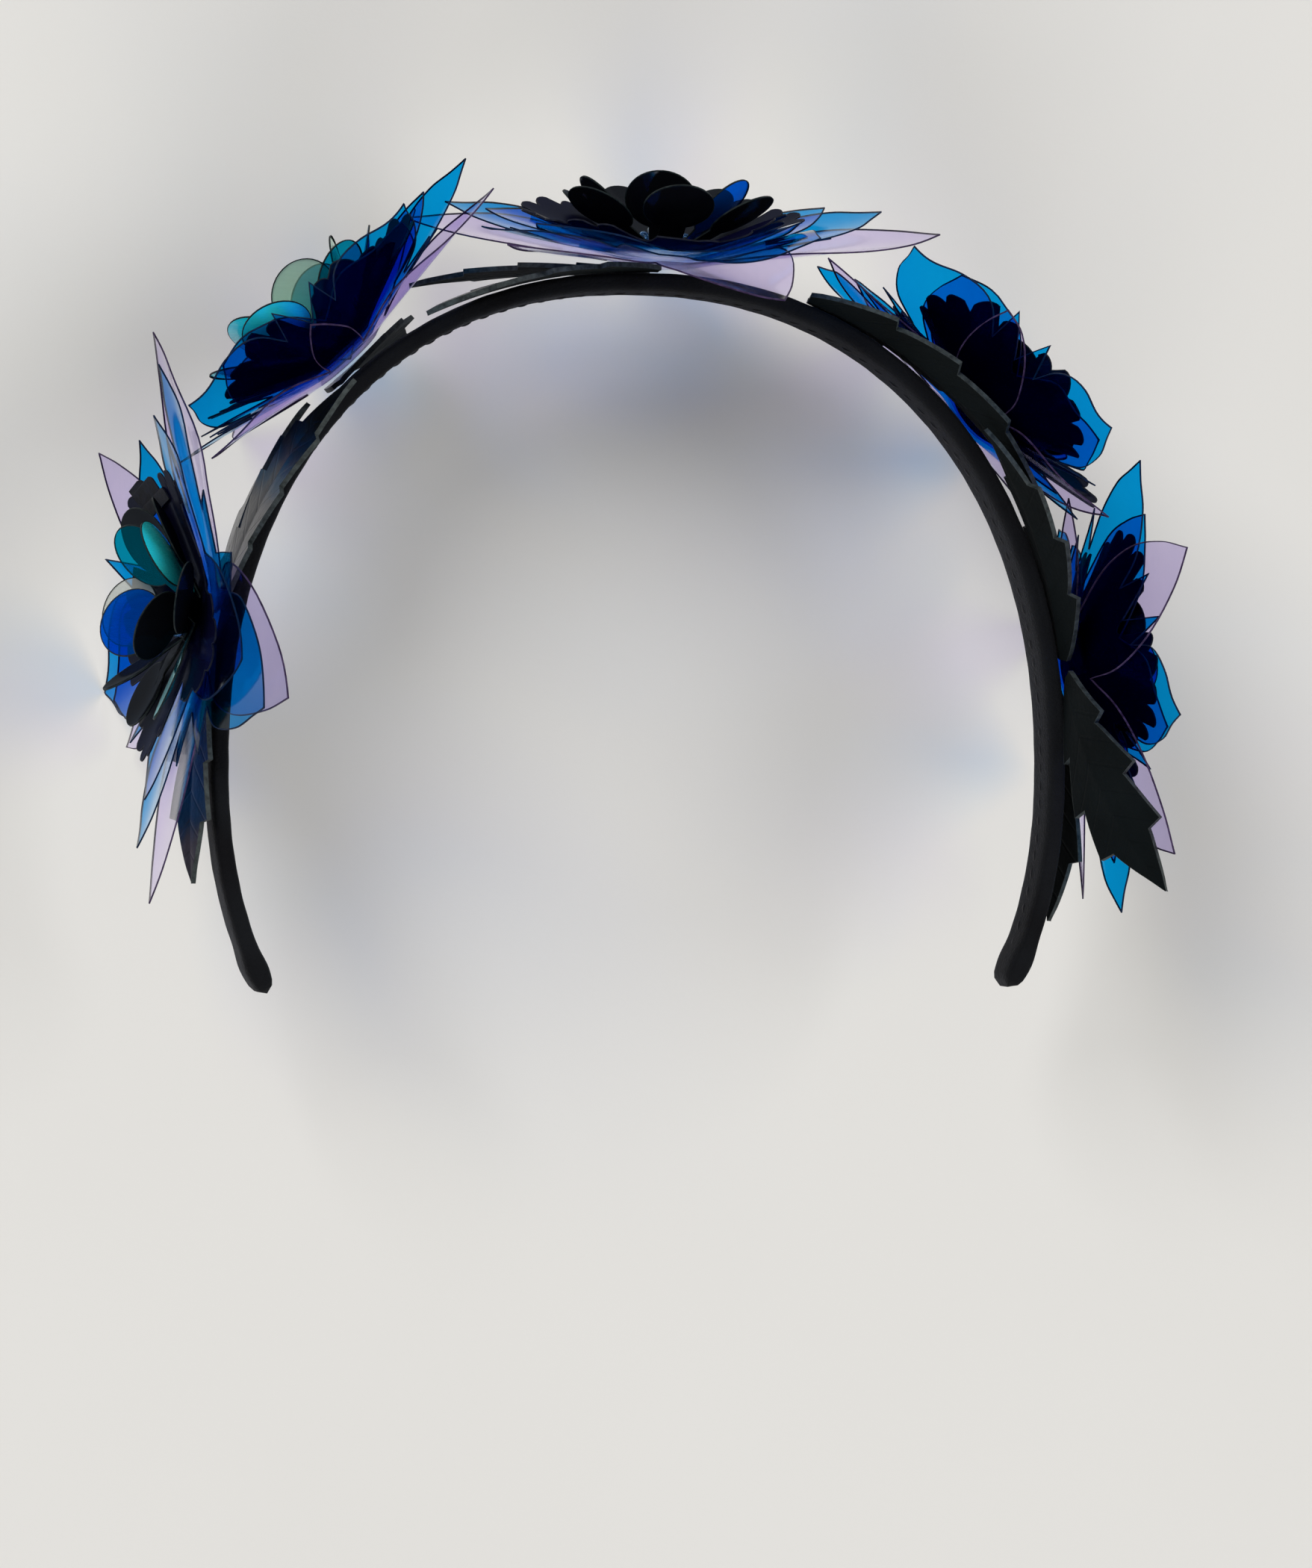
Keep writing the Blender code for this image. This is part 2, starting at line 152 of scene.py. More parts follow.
# Half of one petal, from the gap beside it to its tip.
LILAC_CUT = (
    # reach, angle, corner
    (0.24, 36.0, True),
    (0.46, 27.0, False),
    (0.66, 17.0, False),
    (0.86, 6.6, False),
    (1.00, 0.0, True),
)
BLUE_CUT = (
    (0.46, 36.0, True),
    (0.70, 27.5, True),
    (0.52, 21.0, True),
    (0.68, 17.5, False),
    (0.84, 9.6, False),
    (0.93, 3.4, False),
    (1.00, 0.0, True),
)
INNER_BLUE_CUT = (
    (0.48, 36.0, True),
    (0.74, 20.0, False),
    (0.90, 7.5, False),
    (1.00, 0.0, True),
)

SCALLOP_REACH = 28.0
SCALLOP_GAP = 0.52
SCALLOP_LOBES = 5
SCALLOP_LOBE_DEPTH = 0.09
SCALLOP_SPREAD = 27.0
SCALLOP_ROUNDING = 0.22
SCALLOP_SIDE = 0.8
SCALLOP_DIP = 0.7
LOBE_STEPS = 8

DISC_TIERS = (
    # tier, discs, centre_reach, disc_radius, turn, clear_of_scallops
    ("outer_discs", 6, 17.5, 6.4, 25.0, 4.0),
    ("inner_discs", 5, 14.8, 6.5, 0.0, 16.0),
)
DISC_SIDES = 36
DISC_RINGS = 5
DISC_HALF_ANGLE = 22.0
DISC_NECK = 2.3
DISC_DISH = 0.9
DISC_DISH_FROM = 3.0

BLUE_EXTRA_LIFT = 4.0
INNER_EXTRA_LIFT = 7.0
SCALLOP_EXTRA_LIFT = 10.8
INNER_BLUE_SHARE = 0.80
INNER_BLUE_TURN = 7.0

# turn and lean place a flower on the arch. Petals are (azimuth, length), lifts are (azimuth, lift). Discs
# are the least rise of the outer tier and of the inner one, the first heading and a share of their reach.
FLOWERS = {
    "left_low": {
        "turn": -70.9,
        "lean": -6.0,
        "lilac": ((-16, 48), (92, 52), (139, 46), (-150, 49), (-88, 52)),
        "blue": ((-19, 48), (76, 47), (113, 36), (-162, 50), (-95, 43)),
        "lift": ((-90, 0), (-16, -9), (60, 22), (84, 26), (139, 30), (-150, 1)),
        "discs": (15, 44, -20, 1.0),
    },
    "left_high": {
        "turn": -36.0,
        "lean": 8.0,
        "lilac": ((-11, 24), (61, 42), (133, 50), (-158, 47), (-69, 34)),
        "blue": ((-47, 43), (28, 43), (82, 42), (171, 44), (-119, 38)),
        "lift": (
            (-119, 10), (-66, 3), (-47, 10), (-28, 22), (-11, 25), (8, 22),
            (28, 11), (50, 4), (112, 25), (171, 16),
        ),
        "discs": (36, 60, 4, 1.0),
    },
    "crown": {
        "turn": 2.6,
        "lean": 0.0,
        "lilac": ((14, 50), (87, 52), (160, 50), (-105, 48), (-50, 44)),
        "blue": ((32, 40), (96, 44), (174, 44), (-110, 42), (-60, 43)),
        "lift": ((-140, 22), (-82, 5), (-55, -1), (10, -14), (45, 4), (60, 3), (122, 22), (174, 8)),
        "discs": (30, 46, -87, 0.94),
    },
    "right_high": {
        "turn": 44.0,
        "lean": 12.0,
        "lilac": ((-26, 34), (52, 34), (130, 36), (-158, 50), (-84, 41)),
        "blue": ((-51, 44), (16, 43), (88, 27), (160, 44), (-123, 46)),
        "lift": (
            (-123, 4), (-87, -9), (-69, -13), (-51, -9), (-33, 4), (-18, 10), (0, 4),
            (16, -5), (34, -9), (58, 2), (130, 20), (180, 28), (-155, 24),
        ),
        "discs": (6, 22, 15, 0.75),
    },
    "right_low": {
        "turn": 77.0,
        "lean": 8.0,
        "lilac": ((-24, 48), (45, 49), (117, 50), (-171, 50), (-100, 33)),
        "blue": ((-60, 43), (13, 44), (82, 46), (152, 44), (-132, 38)),
        "lift": ((-132, 20), (-60, 11), (-24, 9), (13, -3), (45, 1), (85, -2), (130, 14), (180, 22)),
        "discs": (6, 20, 5, 0.75),
    },
}

# Film of each disc, in order round its tier: outer tier, inner tier. A cyan disc is a painted highlight: an
# opaque disc coloured bright cyan to stand for light glinting off the film.
DISC_FILMS = {
    "left_low": ("black black black pearl black teal", "black cyan teal blue black"),
    "left_high": ("teal blue black teal teal cyan", "mint mint teal pearl cyan"),
    "crown": ("black black black black black black", "black black blue black black"),
    "right_high": ("black blue black black blue black", "blue black blue black teal"),
    "right_low": ("black blue black black blue black", "blue black teal black blue"),
}
OPAQUE_DISCS = ("black", "cyan")
# Flowers that stand in less light, with a weaker sheen: their films are copies with painted shade, a darker
# lilac tint and a dimmer mirror colour.
DIM_FLOWERS = ("left_high", "right_high", "right_low")

LEAVES = (
    # name, turn, forward, heading, lift, twist, front_rise, bend, length, half_width
    ("left_low_front_leaf", -69.5, 4.0, 74.0, 0.0, 14.0, 0.0, 30.0, 47.0, 8.5),
    ("left_low_back_leaf", -69.5, -4.5, 107.0, 0.0, 0.0, 0.0, 24.0, 44.0, 8.5),
    ("left_low_end_leaf", -72.5, 1.0, -86.0, 3.0, -30.0, 0.0, 16.0, 45.0, 8.0),
    ("left_high_back_leaf", -38.0, -2.0, 150.0, 0.0, 0.0, 0.0, 10.0, 42.0, 8.5),
    ("crown_front_leaf", 1.5, 4.0, -80.0, 0.0, 0.0, 0.0, 26.0, 45.0, 8.0),
    ("crown_back_leaf", 1.5, -4.0, -108.0, 4.0, 0.0, 0.0, 14.0, 44.0, 8.0),
    ("right_high_leaf", 19.5, 5.0, 84.0, 0.0, 0.0, 18.0, 40.0, 57.0, 8.5),
    ("right_low_upper_leaf", 75.5, 4.5, -76.0, 0.0, 0.0, 16.0, 28.0, 46.0, 8.5),
    ("right_low_front_leaf", 78.0, 7.0, 56.0, -8.0, -46.0, 0.0, -30.0, 48.0, 9.0),
    ("right_low_end_leaf", 78.0, -3.5, 94.0, 2.5, -24.0, 0.0, 17.0, 45.0, 8.5),
)
LEAF_STEPS = 9
LEAF_COLUMNS = (0.0, 0.07, 0.3, 0.6, 0.86)
LEAF_EDGE = 0.08
LEAF_TIP = 0.02
LEAF_LEAST_INNER = 0.5
LEAF_NOTCH = 0.1
LEAF_SWELL = 0.8
LEAF_TAPER = 1.1
MIDRIB_DEPTH = 0.22
MIDRIB_WIDTH = 0.7
LEAF_DISH = 0.35

BEADS = 7
BEAD_RING = 3.95
BEAD_RADIUS = 0.95
BEAD_HOLE = 0.32
BEAD_SIDES = 12
BEAD_STEPS = 7
BEAD_LENGTH = 1.5


def arch_point(turn):
    """Middle of the band at this angle from the crown."""
    angle = math.radians(turn)
    across = abs(math.sin(angle) / ARCH_HALF_WIDTH) ** ARCH_FULLNESS
    upright = ARCH_HEIGHT if math.cos(angle) > 0 else ARCH_DROP
    up = abs(math.cos(angle) / upright) ** ARCH_FULLNESS
    radius = (across + up) ** (-1.0 / ARCH_FULLNESS)
    return Vector((radius * math.sin(angle), radius * math.cos(angle), 0.0))


def arch_frame(turn):
    """Front, along and outward directions of the band at this angle."""
    along = (arch_point(turn + ARCH_STEP) - arch_point(turn - ARCH_STEP)).normalized()
    front = Vector((0.0, 0.0, 1.0))
    return front, along, front.cross(along)


def turned(first, second, angle):
    """Two directions at right angles, both turned from the first to the second by an angle in radians."""
    c, s = math.cos(angle), math.sin(angle)
    return first * c + second * s, second * c - first * s


def polar(reach, azimuth):
    """A place in a flower's plane."""
    angle = math.radians(azimuth)
    return Vector((reach * math.cos(angle), reach * math.sin(angle)))


def bearing(place):
    """Azimuth of a place in a flower's plane."""
    return math.degrees(math.atan2(place.y, place.x))


def wrapped(angle):
    """The same angle, from -180 to 180 degrees."""
    return (angle + 180.0) % 360.0 - 180.0


def arch_shift():
    """Where the arch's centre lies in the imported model, from the band's box."""
    low, high = (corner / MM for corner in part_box("band"))
    beside = ARCH_END_TURN / BAND_SEGMENTS
    top = arch_point(beside).y + arch_frame(beside)[2].y * BAND_THICKNESS / 2
    return Vector(((low.x + high.x) / 2, high.y - top, (low.z + high.z) / 2))


SHIFT = arch_shift()


# Materials


class Shader:
    """A material's nodes, made and joined by short calls."""

    def __init__(self, name):
        """A new material with nothing but its output."""
        self.material = bpy.data.materials.new(name)
        self.material.use_nodes = True
        self.tree = self.material.node_tree
        self.tree.nodes.clear()
        self.out = self.tree.nodes.new("ShaderNodeOutputMaterial")
        self.place = self.add("ShaderNodeTexCoord").outputs["Object"]

    def add(self, kind, **values):
        """A node, with values for its properties or its input sockets."""
        node = self.tree.nodes.new(kind)
        for key, value in values.items():
            name = key.replace("_", " ")
            if name in node.inputs:
                self.feed(node.inputs[name], value)
            else:
                setattr(node, key, value)
        return node

    def feed(self, socket, value):
        """Joins an output to a socket, or sets the socket's own value."""
        if isinstance(value, bpy.types.NodeSocket):
            self.tree.links.new(value, socket)
        else:
            socket.default_value = value

    def math(self, operation, first, second=0.0):
        """The result of one sum on values."""
        node = self.add("ShaderNodeMath", operation=operation)
        for socket, value in zip(node.inputs, (first, second)):
            self.feed(socket, value)
        return node.outputs[0]

    def noise(self, scale, detail=3.0, rough=0.6, place=None):
        """Noise over the object's own coordinates, or over the place given."""
        node = self.add("ShaderNodeTexNoise", Scale=scale, Detail=detail, Roughness=rough)
        self.feed(node.inputs["Vector"], place or self.place)
        return node.outputs["Fac"]

    def scratches(self, scale, stretch, turn):
        """Fine noise, drawn out to lines by a different scale each way."""
        node = self.add("ShaderNodeMapping", Vector=self.place, Scale=stretch, Rotation=turn)
        return self.noise(scale, 4.0, 0.7, node.outputs["Vector"])

    def ramp(self, factor, low, high, start=0.0, end=1.0):
        """A value spread from low to high as the factor goes from start to end."""
        spread = {"From_Min": start, "From_Max": end, "To_Min": low, "To_Max": high}
        return self.add("ShaderNodeMapRange", Value=factor, **spread).outputs["Result"]

    def clouds(self, scale, detail=3.0, start=0.3, end=0.7, rough=0.6):
        """Soft patches, from 0 to 1."""
        return self.ramp(self.noise(scale, detail, rough), 0.0, 1.0, start, end)

    def slant(self, steepness):
        """Rises from 0 where the surface is seen face on to 1 where it is seen edge on."""
        facing = self.add("ShaderNodeLayerWeight", Blend=0.5).outputs["Facing"]
        return self.math("POWER", facing, steepness)

    def blend(self, factor, first, second):
        """A colour between two colours."""
        node = self.add("ShaderNodeMix", data_type="RGBA")
        self.feed(node.inputs["Factor"], factor)
        for socket, value in zip([s for s in node.inputs if s.type == "RGBA"], (first, second)):
            self.feed(socket, value)
        return [s for s in node.outputs if s.type == "RGBA"][0]

    def mixed(self, share, first, second):
        """A surface between two surfaces."""
        node = self.add("ShaderNodeMixShader")
        for socket, value in zip(node.inputs, (share, first, second)):
            self.feed(socket, value)
        return node.outputs[0]

    def bump(self, height, strength, distance):
        """Fine relief from a height."""
        node = self.add("ShaderNodeBump", Strength=strength, Distance=distance, Height=height)
        return node.outputs["Normal"]

    def principled(self, tone, **values):
        """Finishes the material with the general surface, and returns the material."""
        return self.finish(self.add("ShaderNodeBsdfPrincipled", Base_Color=tone, **values).outputs[0])

    def finish(self, surface):
        """Joins the surface to the output, and returns the material."""
        self.tree.links.new(surface, self.out.inputs["Surface"])
        return self.material


# Sheen of clear film: its share rises from MIRROR_START to MIRROR_FULL on the way to edge on.
MIRROR_MOST = 0.70
MIRROR_START = 0.05
MIRROR_FULL = 0.60
MIRROR_ROUGHNESS = (0.07, 0.13)
HAZE_SPREAD = 0.15
BLACK_MIRROR = (0.03, 0.14)
BLACK_MIRROR_COLOUR = (0.55, 0.62, 0.75)
BLACK_MIRROR_STEEPNESS = 5.0
ROUGHNESS_SPREAD = (0.6, 1.6)
COAT_ROUGHNESS = 0.06

# Fine scratches: scale, stretch, turn.
TINTED_SCRATCHES = (140.0, (1.0, 7.0, 1.0), (0.3, 0.8, 0.4))
CLEAR_SCRATCHES = (140.0, (7.0, 1.0, 1.0), (0.5, 0.1, 0.9))
OPAQUE_SCRATCHES = (170.0, (1.0, 6.0, 1.0), (0.2, 0.5, 0.9))

# Veins of a leaf, along its length.
VEIN_PACE = 52.0
VEIN_SLANT = 0.16
VEIN_START = 0.86

FILM_LOOKS = {
    # name: tint, deeper tint, mirror colour, steepness of the mirror
    "lilac_clear_film": ((0.80, 0.72, 0.98), (0.73, 0.64, 0.94), (1.0, 0.98, 1.0), 5.0),
    # Painted shade: the dim copies have a darker tint and a dimmer, weaker mirror, for flowers that stand
    # in less light.
    "dim_lilac_clear_film": ((0.71, 0.63, 0.90), (0.65, 0.56, 0.85), (0.9, 0.9, 1.0), 11.0),
    "blue_clear_film": ((0.004, 0.39, 0.86), (0.001, 0.33, 0.82), (0.92, 0.97, 1.0), 5.0),
    "dim_blue_clear_film": ((0.002, 0.40, 0.87), (0.001, 0.34, 0.82), (0.85, 0.95, 1.0), 11.0),
}
DISC_LOOKS = {
    # name: the same, then haze colour, haze share
    "mint": ((0.52, 0.78, 0.60), (0.62, 0.78, 0.66), (0.9, 1.0, 0.95), 5.0, (0.28, 0.47, 0.34), 0.5),
    "pearl": ((0.88, 0.90, 0.84), (0.76, 0.80, 0.75), (1.0, 1.0, 0.97), 5.0, (0.52, 0.54, 0.50), 0.5),
    "teal": ((0.004, 0.46, 0.70), (0.002, 0.36, 0.60), (0.6, 1.0, 1.0), 5.0, (0.0, 0.17, 0.25), 0.35),
    "blue": ((0.002, 0.14, 0.86), (0.002, 0.09, 0.74), (0.7, 0.85, 1.0), 5.0, (0.0, 0.09, 0.46), 0.35),
}
EDGE_LOOKS = {
    # name: dark tone, light tone, roughness, specular level
    "lilac_cut_edge": ((0.02, 0.01, 0.035), (0.07, 0.045, 0.11), 0.5, 0.08),
    "blue_cut_edge": ((0.0, 0.005, 0.02), (0.0, 0.015, 0.06), 0.5, 0.08),
    "black_cut_edge": ((0.003, 0.004, 0.008), (0.010, 0.012, 0.022), 0.5, 0.08),
    "disc_cut_edge": ((0.003, 0.006, 0.008), (0.016, 0.024, 0.024), 0.5, 0.1),
    "leaf_cut_edge": ((0.010, 0.014, 0.014), (0.050, 0.062, 0.062), 0.7, 0.3),
    "black_thread": ((0.006, 0.006, 0.008), (0.02, 0.02, 0.024), 0.7, 0.4),
}
LEAF_LOOKS = {
    # name: dark tone, worn tone, roughness from, to, coat, grain, specular level
    "leaf_top_leather": ((0.003, 0.004, 0.005), (0.008, 0.010, 0.011), 0.26, 0.38, 0.12, 0.2, 0.3),
    "leaf_under_leather": ((0.0015, 0.003, 0.0035), (0.0035, 0.006, 0.007), 0.8, 0.95, 0.0, 0.45, 0.10),
}


def colour(tone):
    """A tone as a full colour."""
    return (*tone, 1.0)


def film_material(name, tint, deep, sheen, steepness, haze_colour=None, haze=0.0):
    """The coloured side of clear film: it tints what is behind it, and mirrors at a slant."""
    s = Shader(name)
    scratches = s.scratches(*TINTED_SCRATCHES)
    shade = s.blend(s.clouds(26.0, 2.0, 0.35), colour(tint), colour(deep))
    body = s.add("ShaderNodeBsdfTransparent", Color=shade).outputs[0]
    if haze:
        dull = s.add("ShaderNodeBsdfDiffuse", Color=colour(haze_colour)).outputs[0]
        body = s.mixed(s.ramp(scratches, haze * (1 - HAZE_SPREAD), haze * (1 + HAZE_SPREAD)), body, dull)
    roughness = s.ramp(scratches, *MIRROR_ROUGHNESS)
    mirror = s.add("ShaderNodeBsdfGlossy", Color=colour(sheen), Roughness=roughness).outputs[0]
    share = s.ramp(s.slant(steepness), 0.0, MIRROR_MOST, MIRROR_START, MIRROR_FULL)
    return s.finish(s.mixed(share, body, mirror))


def clear_side_material():
    """The uncoloured side of film: all but invisible, with faint scratches."""
    s = Shader("clear_film_side")
    scratches = s.ramp(s.scratches(*CLEAR_SCRATCHES), 0.0, 1.0, 0.35, 0.7)
    shade = s.blend(scratches, colour((1.0, 1.0, 1.0)), colour((0.96, 0.97, 0.98)))
    return s.finish(s.add("ShaderNodeBsdfTransparent", Color=shade).outputs[0])


def smooth_parts(s, drift_scale, base, other, roughness):
    """Tone and roughness of smooth opaque film: two colours that drift, and fine scratches."""
    scratches = s.scratches(*OPAQUE_SCRATCHES)
    tone = s.blend(s.clouds(drift_scale), colour(base), colour(other))
    return tone, s.ramp(scratches, *(roughness * spread for spread in ROUGHNESS_SPREAD))


def black_film_material(name, base, other, roughness):
    """Opaque black film, with a mirror that stays weak even at a slant."""
    s = Shader(name)
    tone, rough = smooth_parts(s, 38.0, base, other, roughness)
    body = s.add("ShaderNodeBsdfDiffuse", Color=tone).outputs[0]
    mirror = s.add("ShaderNodeBsdfGlossy", Color=colour(BLACK_MIRROR_COLOUR), Roughness=rough).outputs[0]
    share = s.ramp(s.slant(BLACK_MIRROR_STEEPNESS), *BLACK_MIRROR)
    return s.finish(s.mixed(share, body, mirror))


def gloss_material(name, base, other, roughness, coat):
    """Opaque coated film."""
    s = Shader(name)
    tone, rough = smooth_parts(s, 60.0, base, other, roughness)
    return s.principled(tone, Roughness=rough, Coat_Weight=coat, Coat_Roughness=COAT_ROUGHNESS)


def velvet_material():
    """Black close-pile cloth."""
    s = Shader("band_velvet")
    pile = s.noise(1500.0, 2.0, 0.8)
    nap = s.clouds(70.0, rough=0.5)
    return s.principled(
        s.blend(nap, colour((0.002, 0.002, 0.003)), colour((0.006, 0.007, 0.009))),
        Roughness=s.ramp(pile, 0.8, 1.0),
        Specular_IOR_Level=0.15,
        Sheen_Weight=0.12,
        Sheen_Roughness=0.35,
        Sheen_Tint=colour((0.35, 0.36, 0.42)),
        Normal=s.bump(pile, 0.6, 0.0004),
    )


def leaf_face_material(name, dark, light, rough_low, rough_high, coat, grain_strength, specular):
    """Black leather of a leaf: fine grain, with veins drawn along its own length."""
    s = Shader(name)
    parts = s.add("ShaderNodeSeparateXYZ", Vector=s.add("ShaderNodeUVMap").outputs["UV"])
    along, across = parts.outputs["X"], parts.outputs["Y"]
    slanted = s.math("SUBTRACT", along, s.math("MULTIPLY", s.math("ABSOLUTE", across), VEIN_SLANT))
    veins = s.ramp(s.math("SINE", s.math("MULTIPLY", slanted, VEIN_PACE)), 0.0, 1.0, VEIN_START, 1.0)
    pores = s.add("ShaderNodeTexVoronoi", Scale=900.0, Vector=s.place).outputs["Distance"]
    grain = s.math("ADD", s.noise(480.0, 4.0, 0.65), s.math("MULTIPLY", pores, 0.5))
    relief = s.math("SUBTRACT", s.math("MULTIPLY", grain, 0.6), veins)
    return s.principled(
        s.blend(s.clouds(60.0, 4.0, 0.4, 0.75), colour(dark), colour(light)),
        Roughness=s.ramp(s.noise(90.0), rough_low, rough_high),
        Coat_Weight=coat,
        Coat_Roughness=0.14,
        Specular_IOR_Level=specular,
        Normal=s.bump(relief, grain_strength, 0.0005),
    )


def edge_material(name, dark, light, roughness, specular):
    """Raw cut edge or thread, mottled between two tones."""
    s = Shader(name)
    mottle = s.noise(700.0, 3.0, 0.7)
    return s.principled(
        s.blend(s.ramp(mottle, 0.0, 1.0, 0.35, 0.65), colour(dark), colour(light)),
        Roughness=s.ramp(mottle, roughness * 0.8, roughness * 1.2),
        Specular_IOR_Level=specular,
        Normal=s.bump(mottle, 0.25, 0.0003),
    )


def stone_material(name, tint, deep):
    """Clear cut glass with a coloured glow."""
    s = Shader(name)
    return s.principled(
        s.blend(s.clouds(260.0, 2.0), colour(tint), colour(deep)),
        Roughness=s.ramp(s.noise(500.0, 2.0), 0.02, 0.08),
        IOR=1.6,
        Transmission_Weight=0.75,
    )


def floor_material():
    """Plain pale floor, faintly uneven in tone."""
    s = Shader("pale_floor")
    return s.principled(
        s.blend(s.clouds(3.0, 4.0), colour((0.76, 0.745, 0.715)), colour((0.79, 0.775, 0.745))),
        Roughness=0.95,
        Specular_IOR_Level=0.1,
        Normal=s.bump(s.noise(900.0, 2.0), 0.05, 0.0005),
    )


LILAC, DIM_LILAC, BLUE, DIM_BLUE = (film_material(name, *look) for name, look in FILM_LOOKS.items())
CLEAR_SIDE = clear_side_material()
LILAC_EDGE, BLUE_EDGE, SCALLOP_EDGE, DISC_EDGE, LEAF_RIM, THREAD = (
    edge_material(name, *look) for name, look in EDGE_LOOKS.items()
)
SCALLOP = black_film_material("black_film", (0.002, 0.002, 0.010), (0.003, 0.003, 0.022), 0.16)
DISC_MATERIALS = {name: film_material(f"{name}_disc_film", *look) for name, look in DISC_LOOKS.items()}
BLACK_DISC = black_film_material("black_disc_film", (0.002, 0.002, 0.003), (0.004, 0.005, 0.007), 0.12)
# Painted highlight: the bright cyan base colour stands in for a cyan glint of light off the iridescent
# film.
CYAN_HIGHLIGHT_DISC = gloss_material("cyan_highlight_disc_film", (0.0, 0.80, 0.92), (0.06, 0.98, 0.98), 0.25, 0.8)
DISC_MATERIALS.update(black=BLACK_DISC, cyan=CYAN_HIGHLIGHT_DISC)
VELVET = velvet_material()
LEAF_TOP, LEAF_UNDER = (leaf_face_material(name, *look) for name, look in LEAF_LOOKS.items())
STONE = stone_material("clear_stone", (0.80, 0.90, 0.97), (0.55, 0.75, 0.95))
BEAD = stone_material("blue_bead_glass", (0.45, 0.70, 0.95), (0.10, 0.42, 0.90))


# Geometry


def add_object(name, data):
    """A new object with this data, in the scene."""
    item = bpy.data.objects.new(name, data)
    bpy.context.scene.collection.objects.link(item)
    return item


def add_piece(name, points, faces, shades, materials, node=None, uvs=None):
    """A piece that rides on the one body, made from points in the arch's frame."""
    mesh = bpy.data.meshes.new(name)
    mesh.from_pydata([(point + SHIFT) * MM for point in points], [], faces)
    for made in materials:
        mesh.materials.append(made)
    mesh.polygons.foreach_set("material_index", shades)
    if uvs:
        layer = mesh.uv_layers.new(name="UVMap")
        for loop in mesh.loops:
            layer.data[loop.index].uv = uvs[loop.vertex_index]
    mesh.shade_smooth()
    mesh.set_sharp_from_angle(angle=math.radians(SHARP_ANGLE))
    mesh.update()
    item = add_object(name, mesh)
    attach(item, "root")
    if node:
        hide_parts(node)
    return item


def thicken(points, faces, shades, thickness, under, rim):
    """Closes an open sheet: a second side, shaded as under says, and a rim along its border."""
    normals = [Vector() for _ in points]
    uses = {}
    for number, face in enumerate(faces):
        corners = [points[index] for index in face]
        normal = Vector()
        for here, there in zip(corners, corners[1:] + corners[:1]):
            normal += here.cross(there)
        for index in face:
            normals[index] += normal
        for edge in zip(face, face[1:] + face[:1]):
            uses[edge] = number
    count = len(points)
    half = thickness / 2
    solid = [point + normal.normalized() * half for point, normal in zip(points, normals)]
    solid += [point - normal.normalized() * half for point, normal in zip(points, normals)]
    closed = list(faces) + [tuple(index + count for index in face[::-1]) for face in faces]
    shown = list(shades) + [under.get(shade, shade) for shade in shades]
    for first, second in uses:
        if (second, first) not in uses:
            closed.append((second, first, first + count, second + count))
            shown.append(rim)
    return solid, closed, shown


def smooth_path(rows):
    """A finer closed outline through (azimuth, reach, corner, axis, half_span) rows."""
    flat = []
    for azimuth, reach, corner, axis, half in rows:
        flat.append((polar(reach, azimuth), corner, axis, half))
    path = []
    count = len(flat)
    for index in range(count):
        before, (start, sharp, axis, half) = flat[index - 1][0], flat[index]
        end, end_sharp = flat[(index + 1) % count][:2]
        after = flat[(index + 2) % count][0]
        if not axis_owner(start, end, axis, flat[(index + 1) % count][2]):
            axis, half = flat[(index + 1) % count][2:]
        length = (end - start).length
        leave = end - start if sharp else (end - before) * (length / ((start - before).length + length))
        arrive = end - start if end_sharp else (after - start) * (length / ((after - end).length + length))
        for step in range(PATH_STEPS):
            t = step / PATH_STEPS
            t2, t3 = t * t, t * t * t
            point = start * (2 * t3 - 3 * t2 + 1) + leave * (t3 - 2 * t2 + t)
            point += end * (3 * t2 - 2 * t3) + arrive * (t3 - t2)
            path.append((point, axis, half))
    return path


def axis_owner(start, end, axis, other):
    """True if the middle of this stretch is nearer the first petal's axis."""
    middle = bearing(start + end)
    return abs(wrapped(middle - axis)) <= abs(wrapped(middle - other))


def lift_at(rows, azimuth):
    """Lift at an azimuth, turning smoothly from each row of a flower's lifts to the next."""
    rows = sorted(rows)
    rows = [(rows[-1][0] - 360, rows[-1][1])] + rows + [(rows[0][0] + 360, rows[0][1])]
    azimuth = (azimuth - rows[0][0]) % 360 + rows[0][0]
    for (first, low), (second, high) in zip(rows, rows[1:]):
        if first <= azimuth <= second:
            share = (azimuth - first) / (second - first)
            return low + (high - low) * (1 - math.cos(math.pi * share)) / 2
    return rows[0][1]


def petal_rows(petals, cut, scale=1.0, turn=0.0):
    """Outline of a cut layer round all its petals: rows of azimuth, reach, corner, axis, half_span."""
    petals = sorted((azimuth % 360, length) for azimuth, length in petals)
    rows = []
    count = len(petals)
    widest = cut[0][1]
    for index, (azimuth, length) in enumerate(petals):
        before = azimuth - petals[index - 1][0] + (360 if index == 0 else 0)
        after = petals[(index + 1) % count][0] - azimuth + (360 if index == count - 1 else 0)
        axis = azimuth + turn
        for reach, angle, corner in cut[1:]:
            aside = angle * before / 2 / widest
            rows.append((axis - aside, length * scale * reach, corner, axis, before / 2))
        for reach, angle, corner in cut[-2:0:-1]:
            aside = angle * after / 2 / widest
            rows.append((axis + aside, length * scale * reach, corner, axis, after / 2))
        following = petals[(index + 1) % count][1]
        gap = (length + following) / 2 * scale * cut[0][0]
        rows.append((axis + after / 2, gap, cut[0][2], axis, after / 2))
    return rows


